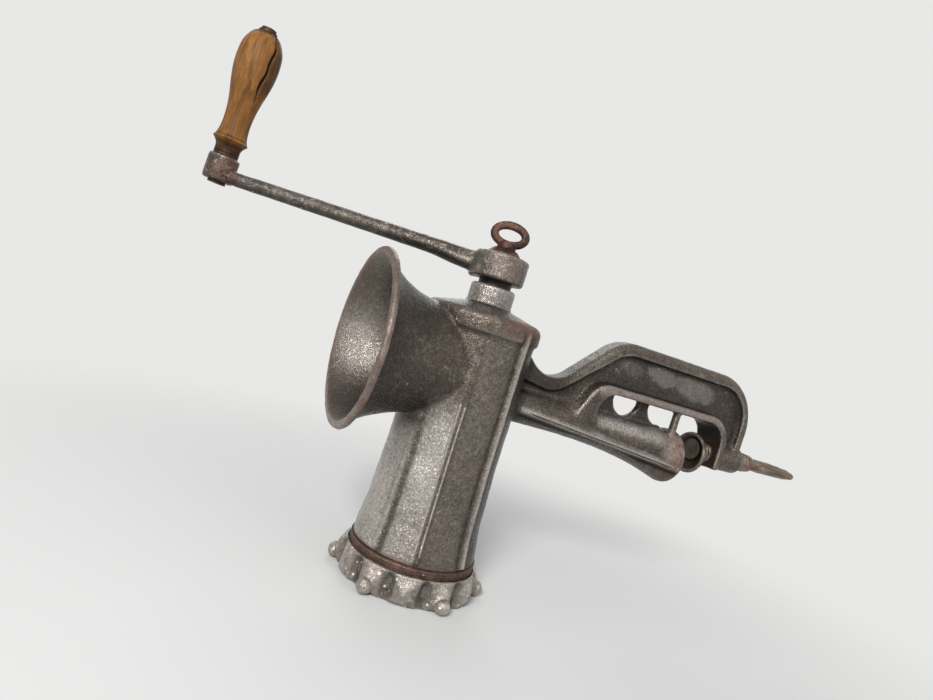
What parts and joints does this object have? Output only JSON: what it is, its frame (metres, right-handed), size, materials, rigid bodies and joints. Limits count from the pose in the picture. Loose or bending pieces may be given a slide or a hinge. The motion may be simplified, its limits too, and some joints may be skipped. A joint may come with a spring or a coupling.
{
  "type": "hand crank meat grinder",
  "caption": "Cast iron hand crank meat grinder with flared hopper, fluted discharge ring, table clamp leg and wooden crank grip.",
  "frame": {"origin": "centre of the discharge ring's front face", "axes": "+Z along the barrel from the discharge ring to the crank, -X out of the hopper, +X along the clamp leg"},
  "size_m": [0.5222, 0.2022, 0.3444],
  "materials": {
    "body_iron": "dark worn casting with brown patches",
    "ring_iron": "paler worn casting",
    "auger_iron": "tinned casting worn grey",
    "crank_iron": "dark handled iron",
    "rusty_steel": "brown with rust",
    "bright_steel": "ground steel",
    "grip_wood": "oiled hardwood with a long crack"
  },
  "bodies": {
    "casting": {"body_casting": "body_iron", "plate_key_pin": "bright_steel"},
    "rotor": {"auger": "auger_iron", "auger_thrust_washer": "bright_steel", "knife_stud": "bright_steel", "knife": "bright_steel", "crank_arm": "crank_iron", "grip_spindle": "crank_iron", "grip_base_washer": "crank_iron", "grip_end_washer": "crank_iron"},
    "grip": {"wooden_grip": "grip_wood"},
    "plate": {"perforated_plate": "bright_steel"},
    "ring": {"screw_ring": "ring_iron"},
    "screw_washer": {"crank_screw_washer": "rusty_steel"},
    "eye_screw": {"crank_eye_screw": "rusty_steel"},
    "cup": {"pressure_cup": "crank_iron"},
    "clamp_screw": {"clamp_screw": "rusty_steel"}
  },
  "joints": [
    {"name": "crank_turn", "type": "hinge", "parent": "casting", "child": "rotor", "pos_m": [0, 0, 0], "axis": [0, 0, 1], "continuous": true},
    {"name": "grip_spin", "type": "hinge", "parent": "rotor", "child": "grip", "pos_m": [-0.18431, 0.12906, 0.22615], "axis": [0.0429, -0.03, 0.9986], "continuous": true},
    {"name": "plate_slide", "type": "slide", "parent": "casting", "child": "plate", "axis": [0, 0, -1], "range_m": [0, 0.0066]},
    {"name": "ring_turn", "type": "hinge", "parent": "plate", "child": "ring", "pos_m": [0, 0, 0], "axis": [0, 0, -1], "range_deg": [-45, 1125]},
    {"name": "washer_slide", "type": "slide", "parent": "rotor", "child": "screw_washer", "axis": [0, 0, 1], "range_m": [0, 0.0045]},
    {"name": "eye_screw_turn", "type": "hinge", "parent": "screw_washer", "child": "eye_screw", "pos_m": [0, 0, 0.24], "axis": [0, 0, 1], "range_deg": [-45, 1125]},
    {"name": "cup_slide", "type": "slide", "parent": "casting", "child": "cup", "axis": [-1, 0, 0], "range_m": [-0.006, 0.01]},
    {"name": "clamp_screw_turn", "type": "hinge", "parent": "cup", "child": "clamp_screw", "pos_m": [0.24, 0, 0.1375], "axis": [-1, 0, 0], "range_deg": [-765, 1245]}
  ],
  "couplings": [
    {"joint": "ring_turn", "follows": "plate_slide", "rad_per_m": 2856},
    {"joint": "eye_screw_turn", "follows": "washer_slide", "rad_per_m": 4188.8},
    {"joint": "clamp_screw_turn", "follows": "cup_slide", "rad_per_m": 2094.4}
  ]
}
